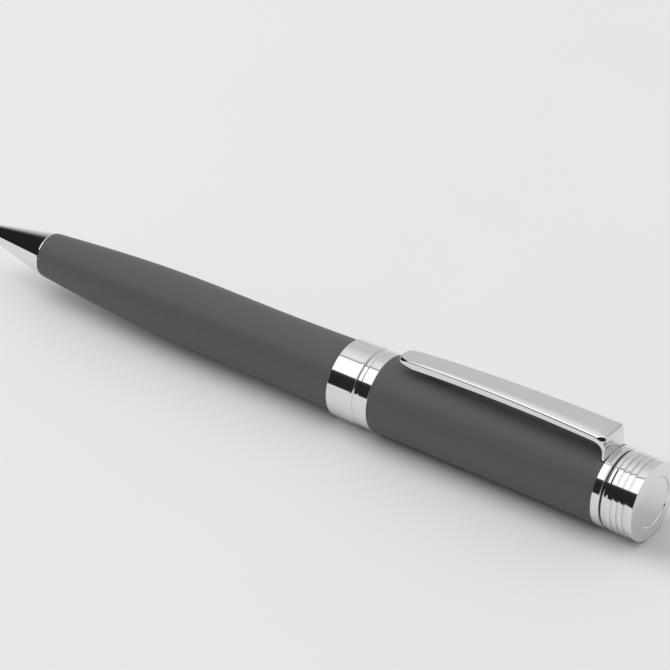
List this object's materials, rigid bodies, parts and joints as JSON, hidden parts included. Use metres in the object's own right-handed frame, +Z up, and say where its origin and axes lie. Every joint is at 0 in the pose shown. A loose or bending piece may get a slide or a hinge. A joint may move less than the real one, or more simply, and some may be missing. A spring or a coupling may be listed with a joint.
{
  "type": "ballpoint pen",
  "caption": "Twist-action ballpoint pen with a satin grey-brown two-part barrel, polished nose cone, centre band, end knob and pressed spring clip.",
  "frame": {"origin": "centre of the footprint: halfway along the pen's length, below its axis, on the surface it lies on", "axes": "+X along the barrel towards the end knob, -X towards the writing tip, +Z up through the pocket clip"},
  "size_m": [0.1342, 0.0132, 0.0171],
  "materials": {
    "barrel_lacquer": "satin grey-brown lacquer over brass tube",
    "chrome_trim": "polished chrome plate on turned brass",
    "clip_chrome": "polished chrome plate on pressed spring steel",
    "turned_brass": "plain turned brass",
    "steel": "drawn stainless steel",
    "spring_steel": "bright drawn spring wire",
    "nylon": "natural moulded nylon",
    "dark_plastic": "black moulded plastic",
    "seal_rubber": "black nitrile rubber",
    "washer_fibre": "dark red-brown vulcanised fibre",
    "ink": "dark blue-black ink"
  },
  "bodies": {
    "lower_body": {"nose_cone": "chrome_trim", "lower_barrel": "barrel_lacquer", "barrel_bush": "turned_brass", "centre_ring_lower": "chrome_trim", "mechanism_housing": "turned_brass", "friction_ring": "seal_rubber", "housing_cap": "nylon", "return_spring": "spring_steel"},
    "upper_body": {"centre_ring_upper": "chrome_trim", "upper_barrel": "barrel_lacquer", "upper_liner": "nylon", "cam_sleeve": "turned_brass", "end_bush": "turned_brass", "clip_eye": "steel", "clip_ring": "chrome_trim", "knob_washer": "washer_fibre", "end_knob": "chrome_trim", "end_disc": "chrome_trim", "knob_stud": "steel"},
    "clip_body": {"clip": "clip_chrome"},
    "refill": {"plunger": "nylon", "cross_pin": "steel", "refill_crown": "dark_plastic", "refill_tube": "steel", "refill_tip": "turned_brass", "writing_ball": "steel", "ink_column": "ink"}
  },
  "joints": [
    {"name": "barrel_twist", "type": "hinge", "parent": "lower_body", "child": "upper_body", "pos_m": [0.01436, 0, 0.00665], "axis": [1, 0, 0], "range_deg": [0, 150]},
    {"name": "refill_slide", "type": "slide", "parent": "lower_body", "child": "refill", "axis": [-1, 0, 0], "range_m": [0, 0.005], "deforming": ["return_spring"]},
    {"name": "clip_flex", "type": "hinge", "parent": "upper_body", "child": "clip_body", "pos_m": [0.05928, 0, 0.01325], "axis": [0, 1, 0], "range_deg": [0, 3], "stiffness_Nm_per_rad": 4}
  ],
  "couplings": [
    {"joint": "refill_slide", "follows": "barrel_twist", "m_per_rad": 0.0019098}
  ]
}
